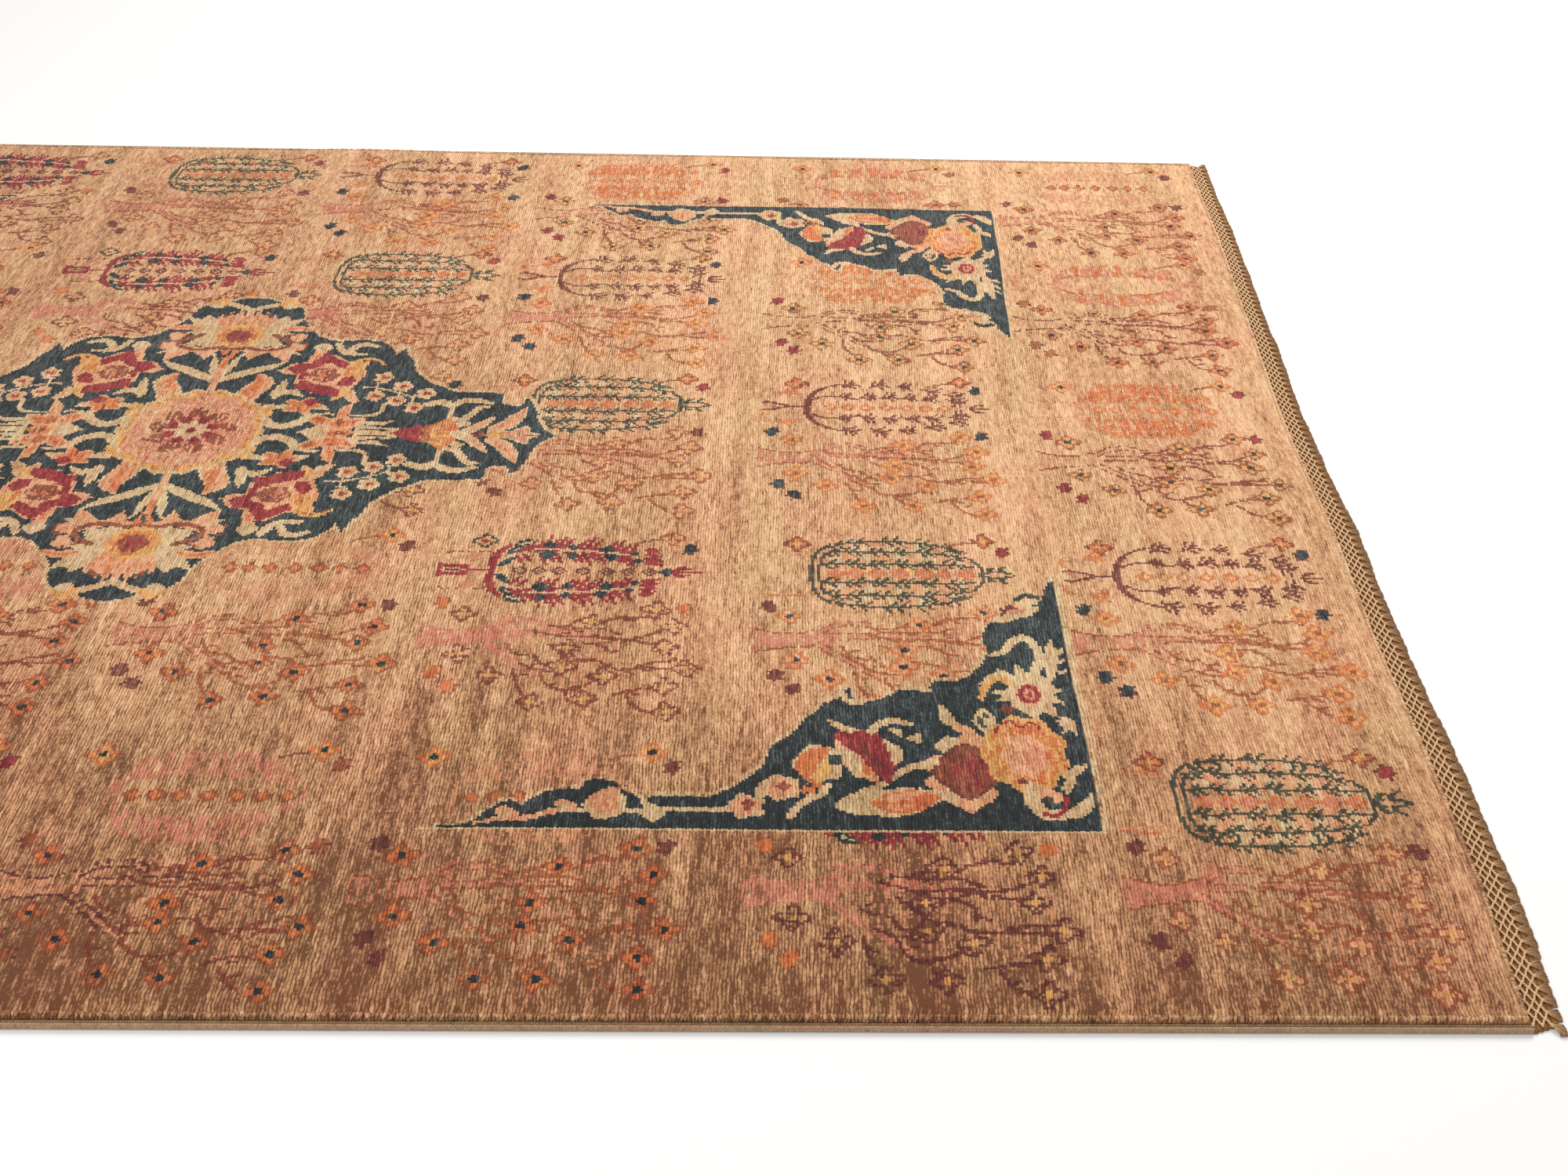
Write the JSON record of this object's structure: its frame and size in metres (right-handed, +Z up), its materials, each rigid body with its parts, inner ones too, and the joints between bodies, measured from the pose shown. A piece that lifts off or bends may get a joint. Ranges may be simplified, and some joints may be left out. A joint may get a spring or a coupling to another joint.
{
  "type": "hand-knotted wool rug",
  "caption": "Flat hand-knotted wool garden rug with a lobed medallion, corner spandrels and rows of trees, overcast side cords and a knotted net fringe at each end.",
  "frame": {"origin": "centre of the rug's footprint, on the floor", "axes": "+X along the rug's length, towards the right-hand fringe; +Y across its width, away from the picture's viewer; +Z up"},
  "size_m": [3.0742, 2.0276, 0.0125],
  "materials": {
    "camel_wool_pile": "hand-spun wool pile, matt with a soft sheen on the tips",
    "indigo_wool_pile": "slate indigo wool pile",
    "cream_wool_pile": "undyed cream wool pile",
    "peach_wool_pile": "peach wool pile",
    "orange_wool_pile": "orange wool pile",
    "red_wool_pile": "madder red wool pile",
    "maroon_wool_pile": "aubergine wool pile",
    "teal_wool_pile": "dark teal wool pile",
    "pink_wool_pile": "faded rose wool pile",
    "brown_wool_pile": "red-brown wool pile",
    "gold_wool_pile": "dull gold wool pile",
    "olive_side_cord": "thin wrapped cord",
    "overcast_side_cord": "thick cord overcast with wool",
    "warp_yarn": "plied cotton warp yarn, knotted"
  },
  "bodies": {
    "root": {"rug_body": "camel_wool_pile", "side_cord_inner_near": "olive_side_cord", "side_cord_inner_far": "olive_side_cord", "side_cord_outer_near": "overcast_side_cord", "side_cord_outer_far": "overcast_side_cord", "net_fringe_right": "warp_yarn", "net_fringe_left": "warp_yarn"}
  },
  "joints": []
}
